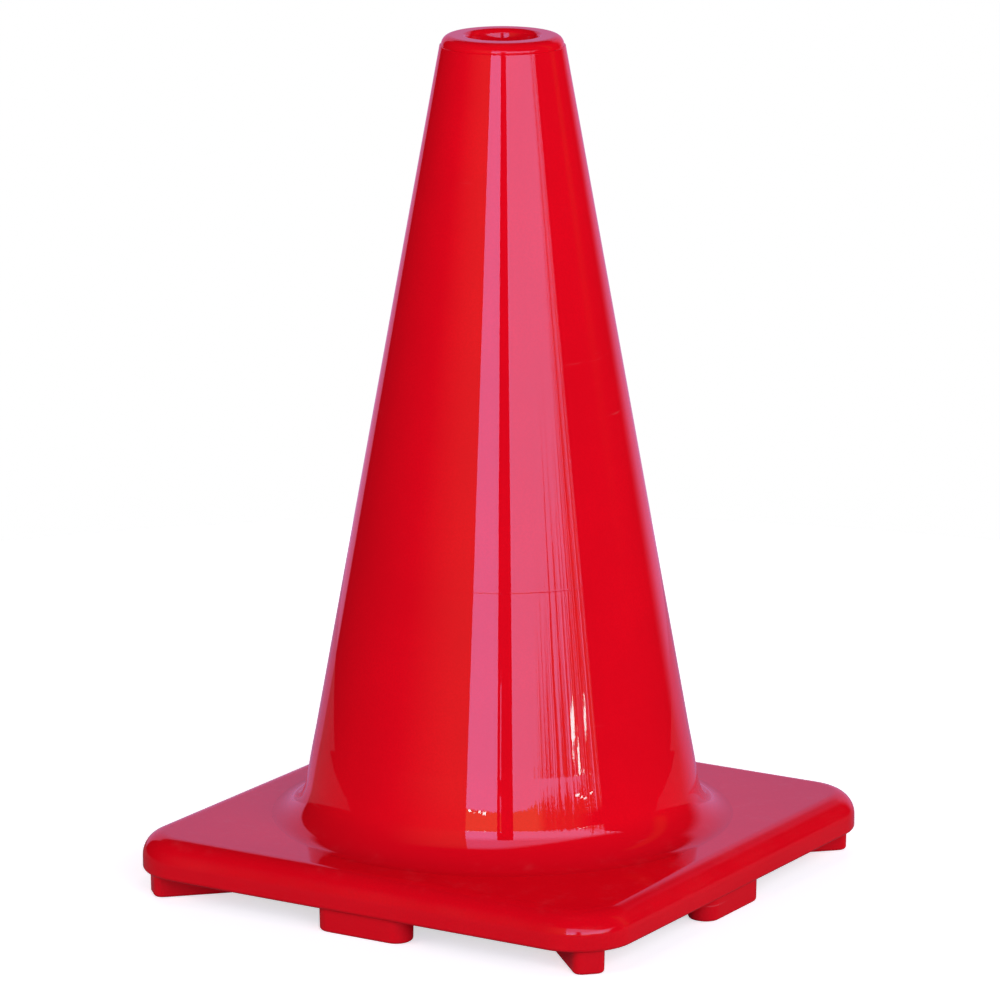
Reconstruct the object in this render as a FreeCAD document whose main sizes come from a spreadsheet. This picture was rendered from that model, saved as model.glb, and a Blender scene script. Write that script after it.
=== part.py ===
import FreeCAD, Part
import math
import os

import Sketcher
from FreeCAD import Placement, Rotation, Vector

# Traffic cone of soft PVC. Millimetres, +Z up, origin on the ground under the middle of
# the base. The shell is moulded first, then the base is moulded round its flange.

SIZES = {
    # whole cone
    "overall_height": 450,
    "base_side": 293,
    "base_corner_radius": 32,
    "slab_thickness": 20,
    "base_edge_round": 12.5,
    "base_lower_round": 2,
    # tapered shell: base_margin is from its foot to the side of the base
    "base_margin": 39.2,
    "shell_wall": 3,
    # skirt at its foot, below a faint line, with heights above the slab and tilts in degrees
    "skirt_height": 45,
    "skirt_bend_height": 34,
    "skirt_upper_tilt": 11.4,
    "skirt_lower_tilt": 9.4,
    # flare of the skirt into the slab: two rounds, and the tilt where they meet
    "flare_upper_round": 33,
    "flare_round": 16.7,
    "flare_tilt": 25.5,
    "flare_run_between": 0.3,
    "flare_land": 0.6,
    # collar and lip round the open top: lip_width is from its hole to the shell's outside
    "collar_height": 5.4,
    "collar_step": 0.8,
    "collar_round": 5.2,
    "lip_hole_radius": 17.4,
    "lip_width": 15.3,
    "lip_depth": 14,
    "lip_lead_depth": 7.5,
    "lip_lead_flare": 1.05,
    "lip_upper_round": 3,
    "lip_lower_round": 1,
    # flange of the shell that the base is moulded round
    "flange_cover": 4,
    "flange_thickness": 3,
    "flange_rim": 3,
    "key_count": 12,
    "key_radius": 3.5,
    "key_land": 1.5,
    "key_clearance": 0.05,
    # feet under the corners, along the diagonals
    "foot_height": 13,
    "foot_draft": 1,
    "foot_round": 1.7,
    "corner_foot_inset": 4.2,
    "corner_foot_mouth_gap": 16.5,
    "corner_foot_width": 17,
    "corner_foot_end_round": 5,
    # feet under the middle of each side
    "side_foot_inset": 3,
    "side_foot_length": 54,
    "side_foot_depth": 18,
    "side_foot_corner_round": 8.5,
}

# Heights and radii that several pieces share, as formulas of the sizes above.
HALF_SIDE = "(Sizes.base_side / 2)"
FOOT_RADIUS = f"({HALF_SIDE} - Sizes.base_margin)"
NECK_RADIUS = "(Sizes.lip_hole_radius + Sizes.lip_width)"
SLAB_TOP = "(Sizes.foot_height + Sizes.slab_thickness)"
COLLAR_LINE = "(Sizes.overall_height - Sizes.collar_height)"
TAPER = f"(({FOOT_RADIUS} - {NECK_RADIUS}) / ({COLLAR_LINE} - {SLAB_TOP}))"
WALL_ACROSS = f"(Sizes.shell_wall * sqrt(1 + {TAPER} ^ 2))"
SEAT_TOP = f"({SLAB_TOP} - Sizes.flange_cover)"
SEAT_BOTTOM = f"({SEAT_TOP} - Sizes.flange_thickness)"
SKIRT_LINE = f"({SLAB_TOP} + Sizes.skirt_height)"
SKIRT_LINE_RADIUS = f"({FOOT_RADIUS} - {TAPER} * Sizes.skirt_height)"
BEND = f"({SLAB_TOP} + Sizes.skirt_bend_height)"
BEND_DROP = "(Sizes.skirt_height - Sizes.skirt_bend_height)"
BEND_RADIUS = f"({SKIRT_LINE_RADIUS} + {BEND_DROP} * tan(Sizes.skirt_upper_tilt * 1 deg))"
FLARE_UPPER_REACH = (
    "(Sizes.flare_upper_round * tan((Sizes.flare_tilt - Sizes.skirt_lower_tilt) / 2 * 1 deg))"
)
FLARE_REACH = "(Sizes.flare_round * tan((90 - Sizes.flare_tilt) / 2 * 1 deg))"
FLARE_SLOPE = f"({FLARE_UPPER_REACH} + {FLARE_REACH} + Sizes.flare_run_between)"
FLARE_HEIGHT = f"({FLARE_SLOPE} * cos(Sizes.flare_tilt * 1 deg))"
FLARE_TOP = f"({SLAB_TOP} + {FLARE_HEIGHT})"
SKIRT_DROP = f"(Sizes.skirt_bend_height - {FLARE_HEIGHT})"
FLARE_TOP_RADIUS = f"({BEND_RADIUS} + {SKIRT_DROP} * tan(Sizes.skirt_lower_tilt * 1 deg))"
TOE_RADIUS = f"({FLARE_TOP_RADIUS} + {FLARE_SLOPE} * sin(Sizes.flare_tilt * 1 deg))"
LAND_RADIUS = f"({TOE_RADIUS} + {FLARE_REACH} + Sizes.flare_land)"
KEY_PITCH_RADIUS = f"({LAND_RADIUS} + Sizes.key_land + Sizes.key_radius)"
FLANGE_RADIUS = f"({KEY_PITCH_RADIUS} + Sizes.key_radius + Sizes.flange_rim)"
LIP_BOTTOM = "(Sizes.overall_height - Sizes.lip_depth)"
COLLAR_RADIUS = f"({NECK_RADIUS} - Sizes.collar_step)"
LEAD_BOTTOM = "(Sizes.overall_height - Sizes.lip_lead_depth)"
LEAD_RADIUS = "(Sizes.lip_hole_radius + Sizes.lip_lead_flare)"

ON_AXIS = "on axis"
TOLERANCE = 1e-4

doc = FreeCAD.newDocument("TrafficCone")


def make_sheet():
    """Spreadsheet that holds every driving size under its own alias."""
    sheet = doc.addObject("Spreadsheet::Sheet", "Sizes")
    for row, (name, value) in enumerate(SIZES.items(), start=1):
        sheet.set(f"A{row}", name)
        sheet.set(f"B{row}", str(value))
        sheet.setAlias(f"B{row}", name)
    doc.recompute()
    return sheet


def inner_radius(height):
    """Formula for the hollow's radius at a height."""
    return f"({FOOT_RADIUS} + {TAPER} * ({SLAB_TOP} - {height}) - {WALL_ACROSS})"


def origin_of(body, role):
    """Origin plane or axis of a body, by its role."""
    return next(item for item in body.Origin.OriginFeatures if item.Role == role)


def make_body(label):
    body = doc.addObject("PartDesign::Body", label)
    body.Label = label
    return body


def make_sketch(body, name, plane, height=None):
    """Empty sketch on an origin plane of its body, raised to a height where one is given."""
    sketch = body.newObject("Sketcher::SketchObject", name)
    sketch.AttachmentSupport = [(origin_of(body, plane), "")]
    sketch.MapMode = "FlatFace"
    if height:
        sketch.setExpression(".AttachmentOffset.Base.z", height)
    return sketch


def tie(sketch, kind, places, start, formula):
    """Dimension between sketch elements whose value follows a formula."""
    index = sketch.addConstraint(Sketcher.Constraint(kind, *places, start))
    sketch.setExpression(f"Constraints[{index}]", formula)


def draw_outline(sketch, corners):
    """Closed straight-sided outline. Each corner is a pair of formulas, for x and for y."""
    count = len(corners)
    spots = []
    for turn in range(count):
        angle = 2 * math.pi * turn / count
        spots.append(Vector(200 + 100 * math.cos(angle), 200 + 100 * math.sin(angle), 0))
    for turn in range(count):
        sketch.addGeometry(Part.LineSegment(spots[turn], spots[(turn + 1) % count]))
    for turn in range(count):
        sketch.addConstraint(Sketcher.Constraint("Coincident", turn, 2, (turn + 1) % count, 1))
    for turn, (across, up) in enumerate(corners):
        if across == ON_AXIS:
            sketch.addConstraint(Sketcher.Constraint("PointOnObject", turn, 1, -2))
        else:
            tie(sketch, "DistanceX", (-1, 1, turn, 1), spots[turn].x, across)
        tie(sketch, "DistanceY", (-1, 1, turn, 1), spots[turn].y, up)
    doc.recompute()


def draw_rectangle(sketch, low_x, high_x, low_y, high_y):
    draw_outline(sketch, [(low_x, low_y), (high_x, low_y), (high_x, high_y), (low_x, high_y)])


def draw_circle(sketch, across, radius):
    """Circle on the sketch's x axis, with its centre and radius as formulas."""
    sketch.addGeometry(Part.Circle(Vector(50, 0, 0), Vector(0, 0, 1), 5))
    sketch.addConstraint(Sketcher.Constraint("PointOnObject", 0, 3, -1))
    tie(sketch, "DistanceX", (-1, 1, 0, 3), 50, across)
    tie(sketch, "Radius", (0,), 5, radius)
    doc.recompute()


def revolve(body, kind, name, sketch):
    """Revolution or Groove of a sketch, once round the body's upright axis."""
    feature = body.newObject(f"PartDesign::{kind}", name)
    feature.Profile = sketch
    feature.ReferenceAxis = (origin_of(body, "Z_Axis"), [""])
    feature.Angle = 360
    doc.recompute()
    return feature


def pad(body, name, sketch, length, downwards=False):
    feature = body.newObject("PartDesign::Pad", name)
    feature.Profile = sketch
    feature.Reversed = downwards
    feature.setExpression("Length", length)
    doc.recompute()
    return feature


def round_edges(body, name, base, edges, radius):
    """Fillet of the named edges of the feature below it."""
    feature = body.newObject("PartDesign::Fillet", name)
    feature.Base = (base, edges)
    feature.setExpression("Radius", radius)
    doc.recompute()
    return feature


def repeat_round(body, name, original, count):
    """Polar pattern of one feature round the body's upright axis."""
    pattern = body.newObject("PartDesign::PolarPattern", name)
    pattern.Originals = [original]
    pattern.Axis = (origin_of(body, "Z_Axis"), [""])
    pattern.Angle = 360
    pattern.setExpression("Occurrences", count)
    body.Tip = pattern
    doc.recompute()
    return pattern


def edges_that(shape, test):
    """Names of the edges of a shape that pass a test."""
    return [f"Edge{index}" for index, edge in enumerate(shape.Edges, start=1) if test(edge)]


def ring_edges(sheet, shape, radius_formula, height_formula):
    """Names of the round edges whose radius and height follow two formulas."""
    radius = sheet.evalExpression(radius_formula)
    height = sheet.evalExpression(height_formula)

    def is_ring(edge):
        if not isinstance(edge.Curve, Part.Circle):
            return False
        same_radius = abs(edge.Curve.Radius - radius) < TOLERANCE
        return same_radius and abs(edge.Curve.Center.z - height) < TOLERANCE
    return edges_that(shape, is_ring)


def upright_edges(shape):
    """Names of the straight edges that join the bottom of a block to its top."""
    return edges_that(shape, lambda edge: edge.BoundBox.ZLength > TOLERANCE)


def level_edges(shape, height):
    """Names of the edges that lie flat at a height."""
    def is_level(edge):
        box = edge.BoundBox
        return box.ZLength < TOLERANCE and abs(box.ZMin - height) < TOLERANCE
    return edges_that(shape, is_level)


def make_cone_shell(sheet):
    """Hollow tapered shell with its thick lip, its flare and its keyed flange."""
    body = make_body("cone_shell")
    outline = make_sketch(body, "ShellOutline", "XZ_Plane")
    draw_outline(outline, [
        ("Sizes.lip_hole_radius", LIP_BOTTOM),
        (inner_radius(LIP_BOTTOM), LIP_BOTTOM),
        (inner_radius(SEAT_BOTTOM), SEAT_BOTTOM),
        (FLANGE_RADIUS, SEAT_BOTTOM),
        (FLANGE_RADIUS, SEAT_TOP),
        (LAND_RADIUS, SEAT_TOP),
        (LAND_RADIUS, SLAB_TOP),
        (TOE_RADIUS, SLAB_TOP),
        (FLARE_TOP_RADIUS, FLARE_TOP),
        (BEND_RADIUS, BEND),
        (SKIRT_LINE_RADIUS, SKIRT_LINE),
        (NECK_RADIUS, COLLAR_LINE),
        (COLLAR_RADIUS, COLLAR_LINE),
        (COLLAR_RADIUS, "Sizes.overall_height"),
        (LEAD_RADIUS, "Sizes.overall_height"),
        ("Sizes.lip_hole_radius", LEAD_BOTTOM),
    ])
    shell = revolve(body, "Revolution", "ShellWall", outline)

    toe = ring_edges(sheet, shell.Shape, TOE_RADIUS, SLAB_TOP)
    flare = round_edges(body, "FootFlare", shell, toe, "Sizes.flare_round")
    flare_top = ring_edges(sheet, flare.Shape, FLARE_TOP_RADIUS, FLARE_TOP)
    upper_flare = round_edges(body, "UpperFlare", flare, flare_top, "Sizes.flare_upper_round")

    collar_ring = ring_edges(sheet, upper_flare.Shape, COLLAR_RADIUS, "Sizes.overall_height")
    collar = round_edges(body, "CollarRound", upper_flare, collar_ring, "Sizes.collar_round")
    upper_ring = ring_edges(sheet, collar.Shape, LEAD_RADIUS, "Sizes.overall_height")
    upper = round_edges(body, "LipUpperRound", collar, upper_ring, "Sizes.lip_upper_round")
    lower_ring = ring_edges(sheet, upper.Shape, "Sizes.lip_hole_radius", LIP_BOTTOM)
    round_edges(body, "LipLowerRound", upper, lower_ring, "Sizes.lip_lower_round")

    key_circle = make_sketch(body, "KeyHoleCircle", "XY_Plane", SEAT_TOP)
    draw_circle(key_circle, KEY_PITCH_RADIUS, "Sizes.key_radius")
    before = body.Shape.Volume
    key_hole = body.newObject("PartDesign::Pocket", "KeyHole")
    key_hole.Profile = key_circle
    key_hole.setExpression("Length", "Sizes.flange_thickness")
    doc.recompute()
    repeat_round(body, "KeyHoles", key_hole, "Sizes.key_count")
    hole = math.pi * sheet.key_radius ** 2 * sheet.flange_thickness
    cut = before - body.Shape.Volume
    if abs(cut - sheet.key_count * hole) > 0.01 * hole:
        raise RuntimeError(f"the key holes removed {cut:.1f} cubic mm")
    return body


def make_base_slab(sheet):
    """Square slab with its mouth, the seat of the flange and the plugs that lock it."""
    body = make_body("base_slab")
    square = make_sketch(body, "SlabSquare", "XY_Plane", "Sizes.foot_height")
    draw_rectangle(square, f"-{HALF_SIDE}", HALF_SIDE, f"-{HALF_SIDE}", HALF_SIDE)
    block = pad(body, "SlabBlock", square, "Sizes.slab_thickness")

    corners = round_edges(
        body, "SlabCorners", block, upright_edges(block.Shape), "Sizes.base_corner_radius"
    )
    slab_top = sheet.foot_height + sheet.slab_thickness
    upper = round_edges(
        body, "UpperRound", corners, level_edges(corners.Shape, slab_top), "Sizes.base_edge_round"
    )
    round_edges(
        body, "LowerRound", upper, level_edges(upper.Shape, sheet.foot_height),
        "Sizes.base_lower_round",
    )

    above = f"({SLAB_TOP} + Sizes.slab_thickness)"
    below = "(Sizes.foot_height - Sizes.slab_thickness)"
    mouth = make_sketch(body, "MouthOutline", "XZ_Plane")
    draw_outline(mouth, [
        (ON_AXIS, below),
        (inner_radius(below), below),
        (inner_radius(SEAT_BOTTOM), SEAT_BOTTOM),
        (FLANGE_RADIUS, SEAT_BOTTOM),
        (FLANGE_RADIUS, SEAT_TOP),
        (LAND_RADIUS, SEAT_TOP),
        (LAND_RADIUS, above),
        (ON_AXIS, above),
    ])
    before = body.Shape.Volume
    revolve(body, "Groove", "MouthAndSeat", mouth)
    if body.Shape.Volume > 0.9 * before:
        raise RuntimeError("the mouth of the base was not cut")

    plug_circle = make_sketch(body, "PlugCircle", "XY_Plane", SEAT_BOTTOM)
    draw_circle(plug_circle, KEY_PITCH_RADIUS, "Sizes.key_radius - Sizes.key_clearance")
    plug = pad(body, "Plug", plug_circle, "Sizes.flange_thickness")
    repeat_round(body, "Plugs", plug, "Sizes.key_count")
    return body


def make_foot(sheet, label, angle, outer, length_in, half_width, corner_round):
    """Foot with drafted sides under the slab. It points along +X, then is turned."""
    body = make_body(label)
    plan = make_sketch(body, f"{label}_plan", "XY_Plane", "Sizes.foot_height")
    draw_rectangle(plan, f"{outer} - {length_in}", outer, f"-{half_width}", half_width)
    block = pad(body, f"{label}_block", plan, "Sizes.foot_height", downwards=True)
    ends = round_edges(
        body, f"{label}_ends", block, upright_edges(block.Shape), corner_round
    )
    sides = [
        f"Face{index}" for index, face in enumerate(ends.Shape.Faces, start=1)
        if face.BoundBox.ZLength > TOLERANCE
    ]
    top = next(
        f"Face{index}" for index, face in enumerate(ends.Shape.Faces, start=1)
        if face.BoundBox.ZMin > sheet.foot_height - TOLERANCE
    )
    draft = body.newObject("PartDesign::Draft", f"{label}_draft")
    draft.Base = (ends, sides)
    draft.NeutralPlane = (ends, [top])
    draft.setExpression("Angle", "Sizes.foot_draft")
    doc.recompute()
    if draft.Shape.Volume > ends.Shape.Volume:
        draft.Reversed = True
        doc.recompute()
    round_edges(body, f"{label}_tread", draft, level_edges(draft.Shape, 0), "Sizes.foot_round")
    body.Placement = Placement(Vector(0, 0, 0), Rotation(Vector(0, 0, 1), angle))
    return body


def make_feet(sheet):
    """Four feet along the diagonals and four under the middles of the sides."""
    feet = []
    corner_centre = f"({HALF_SIDE} - Sizes.base_corner_radius) * sqrt(2)"
    corner_reach = f"({corner_centre} + Sizes.base_corner_radius - Sizes.corner_foot_inset)"
    mouth_edge = inner_radius("Sizes.foot_height")
    for name, angle in (("front", -45), ("right", 45), ("back", 135), ("left", 225)):
        feet.append(make_foot(
            sheet, f"foot_corner_{name}", angle, corner_reach,
            f"({corner_reach} - {mouth_edge} - Sizes.corner_foot_mouth_gap)",
            "Sizes.corner_foot_width / 2", "Sizes.corner_foot_end_round",
        ))
    side_outer = f"({HALF_SIDE} - Sizes.side_foot_inset)"
    for name, angle in (("front", -90), ("right", 0), ("back", 90), ("left", 180)):
        feet.append(make_foot(
            sheet, f"foot_side_{name}", angle, side_outer,
            "Sizes.side_foot_depth", "Sizes.side_foot_length / 2",
            "Sizes.side_foot_corner_round",
        ))
    return feet


def check_document(bodies):
    """Stop if any object failed or any body is not one sound solid."""
    for item in doc.Objects:
        if "Invalid" in item.State or "Error" in item.State:
            raise RuntimeError(f"{item.Name} failed: {item.State}")
    for body in bodies:
        shape = body.Shape
        if shape.isNull() or not shape.isValid() or len(shape.Solids) != 1:
            raise RuntimeError(f"{body.Label} is not one valid solid")


def main():
    sheet = make_sheet()
    bodies = [make_cone_shell(sheet), make_base_slab(sheet)] + make_feet(sheet)
    doc.recompute()
    check_document(bodies)
    os.makedirs("parts", exist_ok=True)
    for body in bodies:
        body.Shape.exportStep(f"parts/{body.Label}.step")
        volume = body.Shape.Volume / 1000
        box = body.Shape.BoundBox
        print(f"{body.Label:22s} {volume:9.2f} cm3  z {box.ZMin:.2f} to {box.ZMax:.2f}")


main()
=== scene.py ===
import math

import bpy
from mathutils import Matrix, Vector


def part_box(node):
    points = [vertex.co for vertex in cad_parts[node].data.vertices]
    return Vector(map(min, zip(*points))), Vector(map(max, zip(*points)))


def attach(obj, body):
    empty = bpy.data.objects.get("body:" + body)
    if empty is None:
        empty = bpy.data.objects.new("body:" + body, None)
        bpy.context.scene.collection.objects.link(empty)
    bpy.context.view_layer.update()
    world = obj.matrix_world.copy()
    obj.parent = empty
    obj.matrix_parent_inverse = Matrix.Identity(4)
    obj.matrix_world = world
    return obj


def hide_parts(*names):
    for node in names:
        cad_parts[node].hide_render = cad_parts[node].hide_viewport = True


MM = 0.001

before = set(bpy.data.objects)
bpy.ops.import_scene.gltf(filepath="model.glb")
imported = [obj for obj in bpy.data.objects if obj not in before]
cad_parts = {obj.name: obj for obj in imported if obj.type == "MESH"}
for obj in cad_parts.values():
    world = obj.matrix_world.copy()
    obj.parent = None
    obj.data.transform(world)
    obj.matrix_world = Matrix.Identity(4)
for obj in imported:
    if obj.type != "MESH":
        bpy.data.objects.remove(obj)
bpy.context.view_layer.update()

# ------------------------------------------------------------------ sizes, from the frame
SHELL_LOW, SHELL_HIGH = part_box("cone_shell")
SLAB_LOW, SLAB_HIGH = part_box("base_slab")

TOP = SHELL_HIGH.z
FLANGE_BOTTOM = SHELL_LOW.z
FLANGE_RADIUS = SHELL_HIGH.x
SLAB_TOP = SLAB_HIGH.z
SLAB_BOTTOM = SLAB_LOW.z
HALF_SIDE = SLAB_HIGH.x

# The rest of the outline, as the shell and its base are drawn.
WALL = 3 * MM
FLANGE_TOP = FLANGE_BOTTOM + WALL
FLANGE_ROUND = 0.4 * MM
FOOT_RADIUS = HALF_SIDE - 39.2 * MM
HOLE_RADIUS = 17.4 * MM
NECK_RADIUS = HOLE_RADIUS + 15.3 * MM
COLLAR_LINE = TOP - 5.4 * MM
COLLAR_RADIUS = NECK_RADIUS - 0.8 * MM
COLLAR_ROUND = 5.2 * MM
LEAD_BOTTOM = TOP - 7.5 * MM
LEAD_RADIUS = HOLE_RADIUS + 1.05 * MM
LIP_BOTTOM = TOP - 14 * MM
LIP_ROUND = 3 * MM
LIP_INNER_ROUND = 2 * MM
HOLE_ROUND = 1 * MM
LEAD_ROUND = 6 * MM
COLLAR_STEP_ROUND = 0.08 * MM
NECK_ROUND = 0.25 * MM
TAPER = (FOOT_RADIUS - NECK_RADIUS) / (COLLAR_LINE - SLAB_TOP)

# Skirt and flare, where the shell's foot spreads into the slab.
SKIRT_HEIGHT = 45 * MM
BEND_HEIGHT = 34 * MM
SKIRT_UPPER_TILT = math.radians(11.4)
SKIRT_LOWER_TILT = math.radians(9.4)
SKIRT_ROUND = 480 * MM
FLARE_TILT = math.radians(25.5)
FLARE_UPPER_ROUND = 33 * MM
FLARE_ROUND = 16.7 * MM
FLARE_REACH = FLARE_ROUND * math.tan((math.pi / 2 - FLARE_TILT) / 2)
FLARE_UPPER_REACH = FLARE_UPPER_ROUND * math.tan((FLARE_TILT - SKIRT_LOWER_TILT) / 2)
FLARE_SLOPE = FLARE_UPPER_REACH + FLARE_REACH + 0.3 * MM
FLARE_HEIGHT = FLARE_SLOPE * math.cos(FLARE_TILT)
SKIRT_RADIUS = FOOT_RADIUS - TAPER * SKIRT_HEIGHT
BEND_RADIUS = SKIRT_RADIUS + (SKIRT_HEIGHT - BEND_HEIGHT) * math.tan(SKIRT_UPPER_TILT)
FLARE_TOP_RADIUS = BEND_RADIUS + (BEND_HEIGHT - FLARE_HEIGHT) * math.tan(SKIRT_LOWER_TILT)
TOE_RADIUS = FLARE_TOP_RADIUS + FLARE_SLOPE * math.sin(FLARE_TILT)
LAND_RADIUS = TOE_RADIUS + FLARE_REACH + 0.6 * MM

# The hollow, the slab's rounds and the feet.
WALL_ACROSS = WALL * math.sqrt(1 + TAPER ** 2)
CORNER_ROUND = 32 * MM
EDGE_ROUND = 12.5 * MM
LOWER_ROUND = 2 * MM
MOUTH_GAP = 16.5 * MM
FOOT_DRAFT = math.tan(math.radians(1))
TREAD_ROUND = 1.7 * MM
CORNER_FOOT_INSET = 4.2 * MM
CORNER_FOOT_WIDTH = 17 * MM
CORNER_FOOT_ROUND = 5 * MM
SIDE_FOOT_INSET = 3 * MM
SIDE_FOOT_LENGTH = 54 * MM
SIDE_FOOT_DEPTH = 18 * MM
SIDE_FOOT_ROUND = 8.5 * MM

# ------------------------------------------------------------------ outlines

ARC_STEP = math.radians(4)
EDGE_MARGIN = 0.4 * MM
SHORTEST_RUN = 0.1 * MM


def inner_radius(height):
    """Radius of the hollow at a height."""
    return FOOT_RADIUS + TAPER * (SLAB_TOP - height) - WALL_ACROSS


def rounded_outline(corners, spacing, closed=True):
    """Points of an outline whose corners are (x, z, round). Straight runs carry extra
    points near their ends and at the spacing, so that smooth shading stays true."""
    count = len(corners)
    arcs = []
    for index, (across, up, radius) in enumerate(corners):
        here = Vector((across, up))
        if radius == 0 or (not closed and index in (0, count - 1)):
            arcs.append([here])
            continue
        before = (Vector(corners[index - 1][:2]) - here).normalized()
        after = (Vector(corners[(index + 1) % count][:2]) - here).normalized()
        opening = before.angle(after)
        centre = here + (before + after).normalized() * radius / math.sin(opening / 2)
        reach = radius / math.tan(opening / 2)
        start = here + before * reach - centre
        finish = here + after * reach - centre
        sweep = math.pi - opening
        steps = max(3, math.ceil(sweep / ARC_STEP))
        arc = []
        for step in range(steps + 1):
            share = step / steps
            low = math.sin((1 - share) * sweep) / math.sin(sweep)
            high = math.sin(share * sweep) / math.sin(sweep)
            arc.append(centre + start * low + finish * high)
        arcs.append(arc)
    points = []
    for index, arc in enumerate(arcs):
        points += arc
        if not closed and index == count - 1:
            break
        run_start = arc[-1]
        run = arcs[(index + 1) % count][0] - run_start
        margin = min(EDGE_MARGIN, run.length / 4)
        if run.length < SHORTEST_RUN:
            continue
        pieces = max(1, round((run.length - 2 * margin) / spacing))
        for piece in range(pieces + 1):
            along = margin + (run.length - 2 * margin) * piece / pieces
            points.append(run_start + run * along / run.length)
    if closed:
        points.append(points[0].copy())
    return points


# ------------------------------------------------------------------ loft of rounded rings


class Wiring:
    """Node tree under construction, with short ways to add its nodes and sums."""

    def __init__(self, tree):
        self.tree = tree
        self.nodes = tree.nodes
        self.links = tree.links

    def socket(self, name, kind, inwards=True, default=None):
        way = "INPUT" if inwards else "OUTPUT"
        item = self.tree.interface.new_socket(name, in_out=way, socket_type=kind)
        if default is not None:
            item.default_value = default
        return item

    def node(self, kind, inputs=(), **settings):
        made = self.nodes.new(kind)
        for name, value in settings.items():
            setattr(made, name, value)
        for key, value in dict(inputs).items():
            self.feed(made.inputs[key], value)
        return made

    def feed(self, target, value):
        if isinstance(value, bpy.types.NodeSocket):
            self.links.new(value, target)
        else:
            target.default_value = value

    def maths(self, operation, *values):
        made = self.node("ShaderNodeMath", enumerate(values), operation=operation)
        return made.outputs[0]

    def product(self, first, *others):
        for other in others:
            first = self.maths("MULTIPLY", first, other)
        return first

    def span(self, value, low, high, to_low=0.0, to_high=1.0):
        """Smooth step of a value from one level to another."""
        made = self.node("ShaderNodeMapRange", {
            "Value": value, "From Min": low, "From Max": high, "To Min": to_low, "To Max": to_high,
        }, interpolation_type="SMOOTHSTEP")
        return made.outputs[0]

    def within(self, value, low, high, soft):
        """1 between two levels and 0 outside them, with soft edges."""
        rise = self.span(value, low - soft, low + soft)
        fall = self.span(value, high - soft, high + soft, 1, 0)
        return self.product(rise, fall)

    def past(self, value, level, soft):
        """0 below a level and 1 above it, with a soft edge."""
        return self.span(value, level - soft, level + soft)

    def noise(self, vector, scale, detail, roughness):
        made = self.node("ShaderNodeTexNoise", {
            "Vector": vector, "Scale": scale, "Detail": detail, "Roughness": roughness,
        })
        return made.outputs[0]

    def streaks(self, value, scale, detail, roughness=0.5):
        """Noise along one value only."""
        made = self.node("ShaderNodeTexNoise", {
            "W": value, "Scale": scale, "Detail": detail, "Roughness": roughness,
        }, noise_dimensions="1D")
        return made.outputs[0]

    def from_main_view(self, vector):
        """Parts of a vector to the right of the main view, away from it and upwards. They
        are fixed to the object, so another camera doesn't turn them."""
        turned = self.node(
            "ShaderNodeVectorRotate", {"Vector": vector, "Angle": -CAMERA_AZIMUTH},
            rotation_type="Z_AXIS",
        ).outputs[0]
        return self.node("ShaderNodeSeparateXYZ", {"Vector": turned}).outputs

    def named(self, name):
        made = self.node("GeometryNodeInputNamedAttribute", {"Name": name}, data_type="FLOAT")
        return made.outputs["Attribute"]

    def blend(self, share, first, second):
        """Mix of two colours."""
        made = self.node("ShaderNodeMix", {0: share, 6: first, 7: second}, data_type="RGBA")
        return made.outputs[2]


CRISP_ANGLE = math.radians(35)
SEAM_GAP = 0.001 * MM
NEARLY_ZERO = 1e-6
RIPPLE_GRAIN = (14, 1, 0.4)


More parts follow.
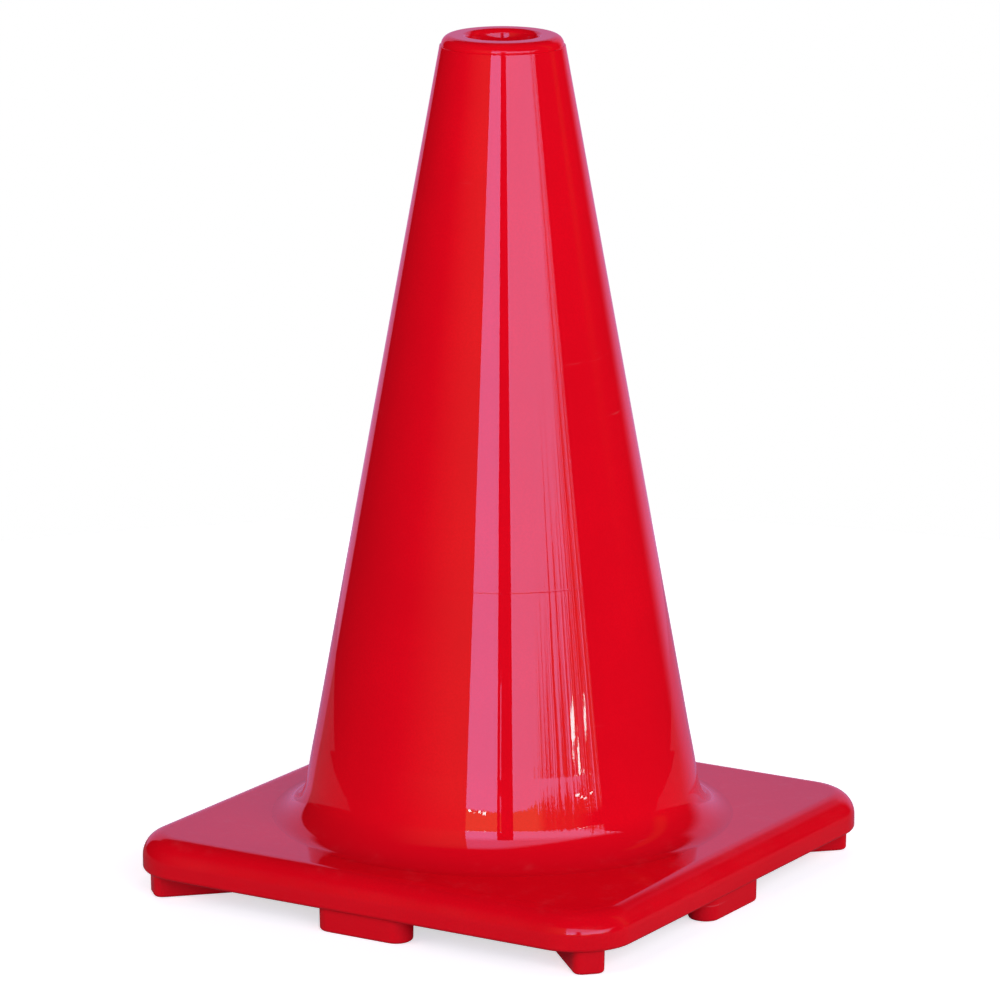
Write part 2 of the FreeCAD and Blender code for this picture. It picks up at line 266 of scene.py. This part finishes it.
def make_loft_tree():
    """Surface through a stack of rounded rectangles. Each point of the input mesh is one
    ring: its x and y are the half sizes, its z the height, and 'corner' the corner round."""
    loft = Wiring(bpy.data.node_groups.new("ring_loft", "GeometryNodeTree"))
    loft.socket("Rings", "NodeSocketGeometry")
    around = loft.socket("Around", "NodeSocketInt", default=256)
    ripple = loft.socket("Ripple", "NodeSocketFloat", default=0.0)
    finish = loft.socket("Finish", "NodeSocketMaterial")
    loft.socket("Surface", "NodeSocketGeometry", inwards=False)
    given = loft.node("NodeGroupInput")

    rings = loft.node(
        "GeometryNodeAttributeDomainSize", {"Geometry": given.outputs["Rings"]}
    ).outputs["Point Count"]
    columns = loft.maths("ADD", given.outputs["Around"], 1)
    grid = loft.node(
        "GeometryNodeMeshGrid",
        {"Size X": 1, "Size Y": 1, "Vertices X": columns, "Vertices Y": rings},
    )
    index = loft.node("GeometryNodeInputIndex").outputs[0]
    column = loft.maths("FLOOR", loft.maths("DIVIDE", loft.maths("ADD", index, 0.5), rings))
    ring = loft.maths("SUBTRACT", index, loft.maths("MULTIPLY", column, rings))
    turn = loft.maths("DIVIDE", loft.maths("MULTIPLY", column, math.tau), given.outputs["Around"])

    def of_ring(value, kind):
        made = loft.node("GeometryNodeSampleIndex", data_type=kind)
        loft.feed(made.inputs["Geometry"], given.outputs["Rings"])
        loft.feed(made.inputs["Value"], value)
        loft.feed(made.inputs["Index"], ring)
        return made.outputs["Value"]

    size = of_ring(loft.node("GeometryNodeInputPosition").outputs[0], "FLOAT_VECTOR")
    half = loft.node("ShaderNodeSeparateXYZ", {"Vector": size})
    half_x, half_y, height = half.outputs["X"], half.outputs["Y"], half.outputs["Z"]
    corner = of_ring(loft.named("corner"), "FLOAT")

    # direction of this column, spread so that long rings get their corners filled
    aim_x = loft.maths("MULTIPLY", loft.maths("COSINE", turn), half_x)
    aim_y = loft.maths("MULTIPLY", loft.maths("SINE", turn), half_y)
    reach = loft.maths(
        "SQRT", loft.maths("ADD", loft.maths("POWER", aim_x, 2), loft.maths("POWER", aim_y, 2))
    )
    unit_x = loft.maths("DIVIDE", aim_x, reach)
    unit_y = loft.maths("DIVIDE", aim_y, reach)
    side_x = loft.maths("MAXIMUM", loft.maths("ABSOLUTE", unit_x), NEARLY_ZERO)
    side_y = loft.maths("MAXIMUM", loft.maths("ABSOLUTE", unit_y), NEARLY_ZERO)

    # distance to the straight sides, and to the corner's arc where the sides give way to it
    to_x = loft.maths("DIVIDE", half_x, side_x)
    to_y = loft.maths("DIVIDE", half_y, side_y)
    straight = loft.maths("MINIMUM", to_x, to_y)
    centre_x = loft.maths("SUBTRACT", half_x, corner)
    centre_y = loft.maths("SUBTRACT", half_y, corner)
    past_x = loft.maths("GREATER_THAN", loft.maths("MULTIPLY", straight, side_x), centre_x)
    past_y = loft.maths("GREATER_THAN", loft.maths("MULTIPLY", straight, side_y), centre_y)
    in_corner = loft.maths("MULTIPLY", past_x, past_y)
    facing = loft.maths(
        "ADD", loft.maths("MULTIPLY", side_x, centre_x), loft.maths("MULTIPLY", side_y, centre_y)
    )
    spread = loft.maths(
        "ADD", loft.maths("POWER", centre_x, 2), loft.maths("POWER", centre_y, 2)
    )
    under = loft.maths("SUBTRACT", loft.maths("POWER", facing, 2), spread)
    under = loft.maths("MAXIMUM", loft.maths("ADD", under, loft.maths("POWER", corner, 2)), 0)
    curved = loft.maths("ADD", facing, loft.maths("SQRT", under))
    distance = loft.node(
        "GeometryNodeSwitch", {"Switch": in_corner, "False": straight, "True": curved},
        input_type="FLOAT",
    ).outputs[0]

    place = loft.node("ShaderNodeCombineXYZ", {
        "X": loft.maths("MULTIPLY", unit_x, distance),
        "Y": loft.maths("MULTIPLY", unit_y, distance),
        "Z": height,
    }).outputs[0]
    shaped = loft.node(
        "GeometryNodeSetPosition", {"Geometry": grid.outputs["Mesh"], "Position": place}
    )
    closed = loft.node(
        "GeometryNodeMergeByDistance", {"Geometry": shaped.outputs[0], "Distance": SEAM_GAP}
    )
    outward = loft.node("GeometryNodeFlipFaces", {"Mesh": closed.outputs[0]})

    # very slight unevenness of the moulding
    where = loft.node("GeometryNodeInputPosition").outputs[0]
    swell = loft.maths("SUBTRACT", loft.noise(where, *RIPPLE_GRAIN), 0.5)
    wander = loft.product(swell, given.outputs["Ripple"])
    normal = loft.node("GeometryNodeInputNormal").outputs[0]
    push = loft.node(
        "ShaderNodeVectorMath", {0: normal, "Scale": wander}, operation="SCALE"
    ).outputs[0]
    uneven = loft.node("GeometryNodeSetPosition", {"Geometry": outward.outputs[0], "Offset": push})
    smooth = loft.node("GeometryNodeSetShadeSmooth", {"Geometry": uneven.outputs[0]})
    bend = loft.node("GeometryNodeInputMeshEdgeAngle").outputs["Unsigned Angle"]
    crisp = loft.node("GeometryNodeSetShadeSmooth", {
        "Geometry": smooth.outputs[0],
        "Selection": loft.maths("GREATER_THAN", bend, CRISP_ANGLE),
        "Shade Smooth": False,
    }, domain="EDGE")
    real = loft.node("GeometryNodeRealizeInstances", {"Geometry": crisp.outputs[0]})
    dressed = loft.node("GeometryNodeSetMaterial", {"Geometry": real.outputs[0]})
    loft.feed(dressed.inputs["Material"], given.outputs["Finish"])
    loft.node("NodeGroupOutput", {"Surface": dressed.outputs[0]})
    names = {"Around": around, "Ripple": ripple, "Finish": finish}
    return loft.tree, {name: item.identifier for name, item in names.items()}


LOFT_TREE, LOFT_INPUTS = make_loft_tree()


def loft(name, rings, around, finish, ripple=0.0):
    """Piece made of rings given as (half_x, half_y, corner, height)."""
    stack = bpy.data.meshes.new(f"{name}_rings")
    stack.from_pydata([(x, y, z) for x, y, _, z in rings], [], [])
    corner = stack.attributes.new("corner", "FLOAT", "POINT")
    corner.data.foreach_set("value", [ring[2] for ring in rings])
    maker = bpy.data.objects.new(f"{name}_maker", stack)
    bpy.context.scene.collection.objects.link(maker)
    modifier = maker.modifiers.new("loft", "NODES")
    modifier.node_group = LOFT_TREE
    modifier[LOFT_INPUTS["Around"]] = around
    modifier[LOFT_INPUTS["Ripple"]] = ripple
    modifier[LOFT_INPUTS["Finish"]] = finish
    depsgraph = bpy.context.evaluated_depsgraph_get()
    mesh = bpy.data.meshes.new_from_object(maker.evaluated_get(depsgraph))
    bpy.data.objects.remove(maker)
    bpy.data.meshes.remove(stack)
    mesh.name = name
    piece = bpy.data.objects.new(name, mesh)
    bpy.context.scene.collection.objects.link(piece)
    return piece


# ------------------------------------------------------------------ finishes


RED = (0.80, 0.0022, 0.0100)
BASE_RED = (0.745, 0.0016, 0.0085)
FOOT_RED = (0.74, 0.0020, 0.0090)
DUST = (0.62, 0.28, 0.30, 1)
PVC_IOR = 1.5

# Shares of the plain colour in the clouds, the speckle and the painted shade towards the foot.
PALE_CLOUD = 1.03
DEEP_CLOUD = 0.955
SPECKLE_TONE = 0.93
PAINTED_FOOT_SHADE = 0.82

# Relief of the surface: orange peel, scuffs cut into it and the mould's ring standing on it.
PEEL_DEPTH = 0.004 * MM
SCUFF_DEPTH = 0.016 * MM
RING_HEIGHT = 0.016 * MM
RING_WIDTH = 0.5 * MM

# How far dust and scuffs tint the colour and dull the gloss, and how far the gloss varies.
DUST_TINT = 0.05
SCUFF_TINT = 0.10
DUST_DULLNESS = 0.05
SCUFF_DULLNESS = 0.18
LEAST_DULL = 0.7
MOST_DULL = 1.6

# Grains as (scale, detail, roughness).
CLOUD_GRAIN = (16, 3, 0.55)
SPECKLE_GRAIN = (900, 1, 0.5)
SCRATCH_GRAIN = (1, 3, 0.6)
PATCH_GRAIN = (9, 2, 0.5)
DUST_GRAIN = (60, 4, 0.7)
GLOSS_GRAIN = (35, 3, 0.6)
PEEL_GRAIN = (170, 1, 0.4)
FINE_GRAIN = (1400, 2, 0.6)

# Levels of those grains between which each mark sets in.
MIDDLE = (0.3, 0.7)
SPECKLE_LEVELS = (0.35, 0.65)
SPECKLE_SHARE = 0.5
SCRATCH_LEVELS = (0.66, 0.72)
PATCH_LEVELS = (0.52, 0.7)
DUST_LEVELS = (0.5, 0.8)
FACING_UP = (0.6, 1.0)

SCRATCH_SLANT = (0.3, 0.2, 0.5)
SCRATCH_STRETCH = (14, 14, 160)


def toned(colour, share):
    return (*(part * share for part in colour), 1)


def make_scuffs(pvc, place):
    """Fine slanting scratches, in a few patches only."""
    slanting = pvc.node("ShaderNodeMapping", {
        "Vector": place, "Rotation": SCRATCH_SLANT, "Scale": SCRATCH_STRETCH,
    }).outputs[0]
    scratches = pvc.span(pvc.noise(slanting, *SCRATCH_GRAIN), *SCRATCH_LEVELS)
    patches = pvc.span(pvc.noise(place, *PATCH_GRAIN), *PATCH_LEVELS)
    return pvc.product(scratches, patches)


def make_dust(pvc, place):
    """Uneven dust on what faces up."""
    facing = pvc.node("ShaderNodeNewGeometry").outputs["Normal"]
    upward = pvc.node("ShaderNodeSeparateXYZ", {"Vector": facing}).outputs["Z"]
    uneven = pvc.span(pvc.noise(place, *DUST_GRAIN), *DUST_LEVELS)
    return pvc.product(pvc.span(upward, *FACING_UP), uneven)


def make_pvc(name, colour, gloss, grain_depth, painted_foot_shade=None, rings=()):
    """Glossy soft PVC: clouded colour, orange peel, fine grain, uneven gloss, scuffs and a
    little dust. The foot's two heights, if given, bound painted shade: the colour is darkened
    downwards between them. rings gives the heights of the faint lines that the mould leaves
    round the piece."""
    material = bpy.data.materials.new(name)
    material.use_nodes = True
    pvc = Wiring(material.node_tree)
    shader = material.node_tree.nodes["Principled BSDF"]
    shader.inputs["IOR"].default_value = PVC_IOR
    place = pvc.node("ShaderNodeTexCoord").outputs["Object"]
    height = pvc.node("ShaderNodeSeparateXYZ", {"Vector": place}).outputs["Z"]
    scuffs = make_scuffs(pvc, place)
    dust = make_dust(pvc, place)

    clouds = pvc.span(pvc.noise(place, *CLOUD_GRAIN), *MIDDLE)
    speckle = pvc.span(pvc.noise(place, *SPECKLE_GRAIN), *SPECKLE_LEVELS, 0, SPECKLE_SHARE)
    surface = pvc.blend(clouds, toned(colour, DEEP_CLOUD), toned(colour, PALE_CLOUD))
    surface = pvc.blend(speckle, surface, toned(colour, SPECKLE_TONE))
    # Painted shade: the colour is darkened downwards towards the foot of the piece.
    if painted_foot_shade:
        painted_shade = pvc.span(height, *painted_foot_shade, 1, 0)
        surface = pvc.blend(painted_shade, surface, toned(colour, PAINTED_FOOT_SHADE))
    surface = pvc.blend(pvc.product(dust, DUST_TINT), surface, DUST)
    surface = pvc.blend(pvc.product(scuffs, SCUFF_TINT), surface, DUST)
    pvc.feed(shader.inputs["Base Color"], surface)

    dull = pvc.span(
        pvc.noise(place, *GLOSS_GRAIN), *MIDDLE, gloss * LEAST_DULL, gloss * MOST_DULL
    )
    dull = pvc.maths("MULTIPLY_ADD", scuffs, SCUFF_DULLNESS, dull)
    dull = pvc.maths("MULTIPLY_ADD", dust, DUST_DULLNESS, dull)
    pvc.feed(shader.inputs["Roughness"], dull)

    relief = pvc.product(pvc.noise(place, *PEEL_GRAIN), PEEL_DEPTH)
    relief = pvc.maths("MULTIPLY_ADD", pvc.noise(place, *FINE_GRAIN), grain_depth, relief)
    relief = pvc.maths("MULTIPLY_ADD", scuffs, -SCUFF_DEPTH, relief)
    for ring in rings:
        off = pvc.maths("ABSOLUTE", pvc.maths("SUBTRACT", height, ring))
        crest = pvc.span(off, 0, RING_WIDTH, 1, 0)
        relief = pvc.maths("MULTIPLY_ADD", crest, RING_HEIGHT, relief)
    bump = pvc.node("ShaderNodeBump", {"Strength": 1.0, "Distance": 1.0, "Height": relief})
    pvc.feed(shader.inputs["Normal"], bump.outputs[0])
    return material


SHELL_RING = TOP - 277 * MM
# Heights between which painted shade darkens the shell's colour downwards, at the flare.
SHELL_PAINTED_SHADE = (SLAB_TOP + 6 * MM, SLAB_TOP + 22 * MM)

CONE_PVC = make_pvc(
    "cone_pvc", RED, gloss=0.014, grain_depth=0.0004 * MM, painted_foot_shade=SHELL_PAINTED_SHADE,
    rings=(SHELL_RING,),
)
BASE_PVC = make_pvc("base_pvc", BASE_RED, gloss=0.07, grain_depth=0.0012 * MM)
FOOT_PVC = make_pvc("foot_pvc", FOOT_RED, gloss=0.16, grain_depth=0.0020 * MM)

# ------------------------------------------------------------------ pieces

SHELL_COLUMNS = 256
SLAB_COLUMNS = 720
FOOT_COLUMNS = 144
SHELL_RIPPLE = 0.1 * MM


def make_cone_shell():
    outline = rounded_outline([
        (HOLE_RADIUS, LIP_BOTTOM, HOLE_ROUND),
        (HOLE_RADIUS, LEAD_BOTTOM, LEAD_ROUND),
        (LEAD_RADIUS, TOP, LIP_ROUND),
        (COLLAR_RADIUS, TOP, COLLAR_ROUND),
        (COLLAR_RADIUS, COLLAR_LINE, COLLAR_STEP_ROUND),
        (NECK_RADIUS, COLLAR_LINE, NECK_ROUND),
        (SKIRT_RADIUS, SLAB_TOP + SKIRT_HEIGHT, 0),
        (BEND_RADIUS, SLAB_TOP + BEND_HEIGHT, SKIRT_ROUND),
        (FLARE_TOP_RADIUS, SLAB_TOP + FLARE_HEIGHT, FLARE_UPPER_ROUND),
        (TOE_RADIUS, SLAB_TOP, FLARE_ROUND),
        (LAND_RADIUS, SLAB_TOP, 0),
        (LAND_RADIUS, FLANGE_TOP, 0),
        (FLANGE_RADIUS, FLANGE_TOP, FLANGE_ROUND),
        (FLANGE_RADIUS, FLANGE_BOTTOM, FLANGE_ROUND),
        (inner_radius(FLANGE_BOTTOM), FLANGE_BOTTOM, 0),
        (inner_radius(LIP_BOTTOM), LIP_BOTTOM, LIP_INNER_ROUND),
    ], spacing=8 * MM)
    rings = [(point.x, point.x, point.x, point.y) for point in outline]
    piece = loft("cone_shell_moulding", rings, SHELL_COLUMNS, CONE_PVC, SHELL_RIPPLE)
    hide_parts("cone_shell")
    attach(piece, "root")
    return piece


def make_base_slab():
    outer = rounded_outline([
        (LAND_RADIUS, SLAB_TOP, 0),
        (HALF_SIDE, SLAB_TOP, EDGE_ROUND),
        (HALF_SIDE, SLAB_BOTTOM, LOWER_ROUND),
        (inner_radius(SLAB_BOTTOM), SLAB_BOTTOM, 0),
    ], spacing=6 * MM, closed=False)
    mouth = rounded_outline([
        (inner_radius(SLAB_BOTTOM), SLAB_BOTTOM, 0),
        (inner_radius(FLANGE_BOTTOM), FLANGE_BOTTOM, 0),
        (FLANGE_RADIUS, FLANGE_BOTTOM, 0),
        (FLANGE_RADIUS, FLANGE_TOP, 0),
        (LAND_RADIUS, FLANGE_TOP, 0),
        (LAND_RADIUS, SLAB_TOP, 0),
    ], spacing=6 * MM, closed=False)
    rings = []
    for across, height in outer:
        inset = HALF_SIDE - across
        corner = CORNER_ROUND - inset
        flat = across < HALF_SIDE - EDGE_ROUND
        if flat:
            share = (across - LAND_RADIUS) / (HALF_SIDE - EDGE_ROUND - LAND_RADIUS)
            share = max(share, 0)
            corner = across * (1 - share) + (CORNER_ROUND - EDGE_ROUND) * share
        rings.append((across, across, corner, height))
    for across, height in mouth[1:]:
        rings.append((across, across, across, height))
    piece = loft("base_slab_moulding", rings, SLAB_COLUMNS, BASE_PVC)
    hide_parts("base_slab")
    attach(piece, "root")
    return piece


def make_foot(node, angle, outer, inner, half_width, corner_round):
    """Foot under the slab that points along +X, then is turned about the upright axis."""
    half_length = (outer - inner) / 2
    tread_inset = SLAB_BOTTOM * FOOT_DRAFT
    wall = rounded_outline([
        (half_length, SLAB_BOTTOM, 0),
        (half_length - tread_inset, 0, TREAD_ROUND),
        (half_length - tread_inset - 1.2 * TREAD_ROUND, 0, 0),
    ], spacing=4 * MM, closed=False)
    rings = [(0, 0, 0, SLAB_BOTTOM)]
    for across, height in wall:
        inset = half_length - across
        rings.append((across, half_width - inset, corner_round - inset, height))
    rings.append((0, 0, 0, 0))
    piece = loft(f"{node}_block", rings, FOOT_COLUMNS, FOOT_PVC)
    place = Matrix.Rotation(angle, 4, "Z") @ Matrix.Translation(((outer + inner) / 2, 0, 0))
    piece.data.transform(place)
    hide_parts(node)
    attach(piece, "root")


def make_feet():
    """Four feet along the diagonals and four under the middles of the sides."""
    corner_centre = (HALF_SIDE - CORNER_ROUND) * math.sqrt(2)
    corner_outer = corner_centre + CORNER_ROUND - CORNER_FOOT_INSET
    corner_inner = inner_radius(SLAB_BOTTOM) + MOUTH_GAP
    side_outer = HALF_SIDE - SIDE_FOOT_INSET
    for turn, name in enumerate(("front", "right", "back", "left")):
        quarter = turn * math.pi / 2
        make_foot(
            f"foot_corner_{name}", quarter - math.pi / 4, corner_outer, corner_inner,
            CORNER_FOOT_WIDTH / 2, CORNER_FOOT_ROUND,
        )
        make_foot(
            f"foot_side_{name}", quarter - math.pi / 2, side_outer,
            side_outer - SIDE_FOOT_DEPTH, SIDE_FOOT_LENGTH / 2, SIDE_FOOT_ROUND,
        )


make_cone_shell()
make_base_slab()
make_feet()

# ------------------------------------------------------------------ camera

CAMERA_AIM = Vector((-0.00114, -0.00070, 0.20268))
CAMERA_AZIMUTH = math.radians(31.4515)
CAMERA_ELEVATION = math.radians(13.4398)
CAMERA_RANGE = 3.34881
CAMERA_LENS = 229.33


def make_camera():
    data = bpy.data.cameras.new("camera")
    data.lens = CAMERA_LENS
    data.sensor_width = 36
    data.clip_start = 0.1
    data.clip_end = 100
    camera = bpy.data.objects.new("camera", data)
    away = Vector((
        math.sin(CAMERA_AZIMUTH),
        -math.cos(CAMERA_AZIMUTH),
        math.tan(CAMERA_ELEVATION),
    )).normalized()
    camera.location = CAMERA_AIM + CAMERA_RANGE * away
    camera.rotation_euler = away.to_track_quat("Z", "Y").to_euler()
    bpy.context.scene.collection.objects.link(camera)
    bpy.context.scene.camera = camera


make_camera()

# ------------------------------------------------------------------ studio

WHITE = (1, 1, 1, 1)
SKY_LEFT = (1.7, 2.65, 5.6, 1)
SKY_RIGHT = (1.9, 2.4, 4.5, 1)
SKY_HAZE = (1.9, 1.5, 2.3, 1)
EARTH = (1.5, 0.95, 0.35, 1)
TREES = (0.5, 0.2, 0.08, 1)
GLINT = (8, 20, 20, 1)
DARK_ROOM = (0.03, 0.005, 0.01, 1)
NEAR_WALL = (0.36, 0.26, 0.14, 1)
WARM_WALL = (0.20, 0.10, 0.02, 1)
BACKDROP = (0.66, 0.31, 0.62, 1)

# Bearings are in degrees to the right of the camera, and heights in degrees above level.
WINDOW = (-21.2, 60.2)
WINDOW_FOOT = 0.5
WINDOW_HEAD = (31, 14)
WINDOW_SPREAD = 14
EDGE_SOFTNESS = 0.2
SKY_FADE = (11.5, 20)
FADED_SKY = 0.5
SKYLINE = 3.4
PILLAR = (-3.1, 6.1)
PILLAR_TOP = 18
SLIT = (-1.5, -0.8)
SLIT_TOP = 5.4
SLIT_SHARE = 0.6
NEAR_WALL_RISE = (-75, -23)
NEAR_WALL_END = -21
NEAR_WALL_TOP = 30
NEAR_WALL_SOFTNESS = 6
WARM_STRIP = (97, 107)
WARM_STRIP_HEIGHTS = (2, 50)
WARM_STRIP_SOFTNESS = 4
BACKDROP_RIGHT = (129, 150)
BACKDROP_LEFT = (-149, -146)
BACKDROP_HEIGHTS = (-89, 32)
BACKDROP_SOFTNESS = 3

# Bearings over which bushes and nearer trees set in, and how far they ruffle the skyline.
BUSHES = (12, 30)
BUSH_RISE = 16
NEAR_TREES = (47, 56)
NEAR_TREE_RISE = 90

# Bright spots over the skyline as (bearing, height, half width, half height).
GLINTS = (
    (44.9, 3.5, 1.3, 0.13), (53.7, 2.9, 0.9, 0.10), (47.4, 3.05, 0.7, 0.12),
    (49.5, 2.7, 0.9, 0.06), (-19.0, 3.2, 1.0, 0.12), (-13.2, 3.25, 0.7, 0.12),
    (-10.4, 3.15, 0.9, 0.13), (-16.2, 3.1, 0.4, 0.06),
)


def make_outlook(sky, bearing, height):
    """Colour through the window: open sky over a ragged skyline, with a few glints."""
    grain = sky.node("ShaderNodeCombineXYZ", {
        "X": sky.product(bearing, 1.2), "Y": height, "Z": 4.0,
    }).outputs[0]
    twigs = sky.maths("SUBTRACT", sky.noise(grain, 1, 6, 0.8), 0.5)
    trunks = sky.maths("SUBTRACT", sky.streaks(bearing, 0.4, 5, 0.9), 0.46)
    bushes = sky.span(bearing, *BUSHES, 0, BUSH_RISE)
    near_trees = sky.span(bearing, *NEAR_TREES, 0, NEAR_TREE_RISE)
    skyline = sky.maths("ADD", SKYLINE, sky.span(bearing, 0, 30, 0, 0.3))
    skyline = sky.maths("MULTIPLY_ADD", trunks, sky.maths("ADD", bushes, near_trees), skyline)
    skyline = sky.maths("MULTIPLY_ADD", twigs, sky.span(bearing, 14, 34, 1.2, 6), skyline)
    above = sky.past(sky.maths("SUBTRACT", height, skyline), 0, 0.02)

    ground = sky.blend(sky.span(bearing, 18, 27), EARTH, TREES)
    ground = sky.blend(sky.span(twigs, 0.02, 0.2), ground, EARTH)
    air = sky.blend(sky.span(bearing, -6, 12), SKY_LEFT, SKY_RIGHT)
    haze = sky.span(sky.streaks(bearing, 2.5, 4), 0.3, 0.7, 0, 0.22)
    air = sky.blend(haze, air, SKY_HAZE)
    seen = sky.blend(above, ground, air)
    glints = 0
    for at, up, half_width, half_height in GLINTS:
        spot = sky.product(
            sky.maths("COMPARE", bearing, at, half_width),
            sky.maths("COMPARE", height, up, half_height),
        )
        glints = sky.maths("ADD", glints, spot)
    return sky.blend(sky.maths("MINIMUM", glints, 1), seen, GLINT)


def make_opening(sky, bearing, height):
    """Share of the window that is open: its edges, less the pillar with a slit beside it."""
    left = sky.past(bearing, WINDOW[0], EDGE_SOFTNESS)
    spread = sky.maths("SUBTRACT", bearing, sky.span(height, 9, 16, 0, WINDOW_SPREAD))
    right = sky.span(spread, WINDOW[1] - EDGE_SOFTNESS, WINDOW[1] + EDGE_SOFTNESS, 1, 0)
    foot = sky.span(height, WINDOW_FOOT, WINDOW_FOOT + 1)
    over_head = sky.maths("SUBTRACT", height, sky.span(bearing, -10, 74, *WINDOW_HEAD))
    head = sky.span(over_head, -3, 3, 1, 0)

    pillar_end = sky.span(height, PILLAR_TOP - 1, PILLAR_TOP, 1, 0)
    pillar = sky.product(sky.within(bearing, *PILLAR, EDGE_SOFTNESS), pillar_end)
    slit = sky.product(
        sky.within(bearing, *SLIT, 0.1), sky.maths("LESS_THAN", height, SLIT_TOP)
    )
    pillar = sky.maths("MULTIPLY_ADD", slit, -SLIT_SHARE, pillar)
    fade = sky.span(height, *SKY_FADE, 1, FADED_SKY)
    return sky.product(left, right, foot, head, fade, sky.maths("SUBTRACT", 1, pillar))


def make_room(sky, bearing, height):
    """Colour of the room: dark, with a dim wall to the left of the window, a warm strip to
    the right and a pale backdrop behind the cone."""
    wall = sky.product(
        sky.span(bearing, *NEAR_WALL_RISE), sky.maths("LESS_THAN", bearing, NEAR_WALL_END),
        sky.within(height, 0, NEAR_WALL_TOP, NEAR_WALL_SOFTNESS),
    )
    strip = sky.product(
        sky.within(bearing, *WARM_STRIP, WARM_STRIP_SOFTNESS),
        sky.within(height, *WARM_STRIP_HEIGHTS, WARM_STRIP_SOFTNESS),
    )
    sides = sky.maths(
        "MAXIMUM", sky.span(bearing, *BACKDROP_RIGHT), sky.span(bearing, *BACKDROP_LEFT, 1, 0)
    )
    behind = sky.product(sides, sky.within(height, *BACKDROP_HEIGHTS, BACKDROP_SOFTNESS))
    room = sky.blend(wall, DARK_ROOM, NEAR_WALL)
    room = sky.blend(strip, room, WARM_WALL)
    return sky.blend(behind, room, BACKDROP)


def make_world():
    """Surroundings that the gloss mirrors, by the direction looked in: a window with a view
    and a pillar in front, a pale backdrop behind and a dark room elsewhere. The camera
    itself sees plain white."""
    world = bpy.data.worlds.new("studio")
    world.use_nodes = True
    sky = Wiring(world.node_tree)
    looked = sky.node("ShaderNodeTexCoord").outputs["Generated"]
    aside, away, up = sky.from_main_view(looked)
    bearing = sky.maths("DEGREES", sky.maths("ARCTAN2", aside, sky.product(away, -1)))
    height = sky.maths("DEGREES", sky.maths("ARCSINE", up))
    opening = make_opening(sky, bearing, height)
    outlook = make_outlook(sky, bearing, height)
    around = sky.blend(opening, make_room(sky, bearing, height), outlook)
    seen = sky.node("ShaderNodeLightPath").outputs["Is Camera Ray"]
    background = world.node_tree.nodes["Background"]
    sky.feed(background.inputs["Color"], sky.blend(seen, around, WHITE))
    bpy.context.scene.world = world


FLOOR_RADIUS = 0.8
PAPER = (0.9, 0.9, 0.9, 1)
PAPER_GLOW = 0.6
DARK_FLOOR = (0.26, 0.17, 0.2, 1)
BACKDROP_FLOOR_GLOW = 0.7

# The floor behind the cone starts past REAR_START and lies between two slanting lines, each
# given by its slant and the distances over which it sets in.
REAR_START = (0.02, 0.12)
REAR_LEFT_SLANT = 0.67
REAR_LEFT = (-0.12, -0.09)
REAR_RIGHT_SLANT = -0.9
REAR_RIGHT = (0, 0.25)


def make_floor():
    """Round floor that is plain and pale to the camera only. To every other ray it is darker
    in front of the cone, and behind it glows like the backdrop that it runs into."""
    bpy.ops.mesh.primitive_circle_add(
        vertices=96, radius=FLOOR_RADIUS, fill_type="NGON", location=(0, 0, 0)
    )
    floor = bpy.context.object
    floor.name = "floor"
    material = bpy.data.materials.new("pale_floor")
    material.use_nodes = True
    paper = Wiring(material.node_tree)
    material.node_tree.nodes.remove(material.node_tree.nodes["Principled BSDF"])
    output = material.node_tree.nodes["Material Output"]
    place = paper.node("ShaderNodeTexCoord").outputs["Object"]
    aside, away, _ = paper.from_main_view(place)
    behind = paper.product(
        paper.span(paper.maths("MULTIPLY_ADD", away, REAR_LEFT_SLANT, aside), *REAR_LEFT),
        paper.span(
            paper.maths("MULTIPLY_ADD", away, REAR_RIGHT_SLANT, aside), *REAR_RIGHT, 1, 0
        ),
        paper.span(away, *REAR_START),
    )
    near = paper.node("ShaderNodeBsdfDiffuse", {"Color": DARK_FLOOR}).outputs[0]
    far = paper.node(
        "ShaderNodeEmission", {"Color": BACKDROP, "Strength": BACKDROP_FLOOR_GLOW}
    ).outputs[0]
    mirrored = paper.node("ShaderNodeMixShader", {0: behind, 1: near, 2: far}).outputs[0]
    pale = paper.node("ShaderNodeBsdfDiffuse", {"Color": PAPER}).outputs[0]
    glow = paper.node("ShaderNodeEmission", {"Color": WHITE, "Strength": PAPER_GLOW}).outputs[0]
    lit = paper.node("ShaderNodeAddShader", {0: pale, 1: glow}).outputs[0]
    seen = paper.node("ShaderNodeLightPath").outputs["Is Camera Ray"]
    mixed = paper.node("ShaderNodeMixShader", {0: seen, 1: mirrored, 2: lit}).outputs[0]
    paper.feed(output.inputs["Surface"], mixed)
    floor.data.materials.append(material)


def make_light(name, bearing, elevation, distance, size, power):
    """Soft square light aimed at the middle of the cone. It gives shading, not reflections."""
    data = bpy.data.lights.new(name, "AREA")
    data.size = size
    data.energy = power
    light = bpy.data.objects.new(name, data)
    turn = CAMERA_AZIMUTH + math.radians(bearing)
    rise = math.radians(elevation)
    away = Vector((
        math.sin(turn) * math.cos(rise), -math.cos(turn) * math.cos(rise), math.sin(rise)
    ))
    light.location = Vector((0, 0, TOP / 2)) + distance * away
    light.rotation_euler = away.to_track_quat("Z", "Y").to_euler()
    light.visible_glossy = False
    bpy.context.scene.collection.objects.link(light)


SOFTBOX_HEIGHT = 14
SOFTBOX_DISTANCE = 2.5
SOFTBOX_SIZE = 2.0

# Soft lights round the cone as (name, bearing, power).
SOFTBOXES = (
    ("key", 25, 36), ("fill_left", -70, 34), ("fill_right", 105, 31), ("fill_back", 190, 22),
)

make_world()
make_floor()
for softbox, softbox_bearing, softbox_power in SOFTBOXES:
    make_light(
        softbox, softbox_bearing, SOFTBOX_HEIGHT, SOFTBOX_DISTANCE, SOFTBOX_SIZE, softbox_power
    )
make_light("crown", 0, 68, 0.7, 0.3, 0.5)
bpy.context.scene.view_settings.view_transform = "Standard"
